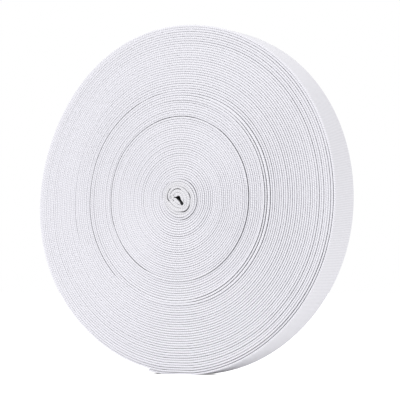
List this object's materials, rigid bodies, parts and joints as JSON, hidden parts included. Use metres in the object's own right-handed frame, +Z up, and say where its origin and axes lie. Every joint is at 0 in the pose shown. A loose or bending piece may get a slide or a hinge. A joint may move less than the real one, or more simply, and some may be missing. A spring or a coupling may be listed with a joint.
{
  "type": "roll of elastic",
  "caption": "Coreless roll of white flat knitted elastic tape standing on its edge, wound round its own doubled inner end, with the loose end tucked under.",
  "frame": {"origin": "on the ground, at the middle of the bottom of the roll's bounding box, on the small flat that it stands on", "axes": "+Z up; the roll's axis lies along Y, with the face that has the open slit of its core looking towards -Y; +X is across the roll, to the right as seen from that face"},
  "size_m": [0.1718, 0.0199, 0.1719],
  "materials": {
    "white_elastic": "matt knitted elastic, cool white, with fine crosswise ribs and soft selvedges"
  },
  "bodies": {
    "root": {"wound_roll": "white_elastic"}
  },
  "joints": []
}
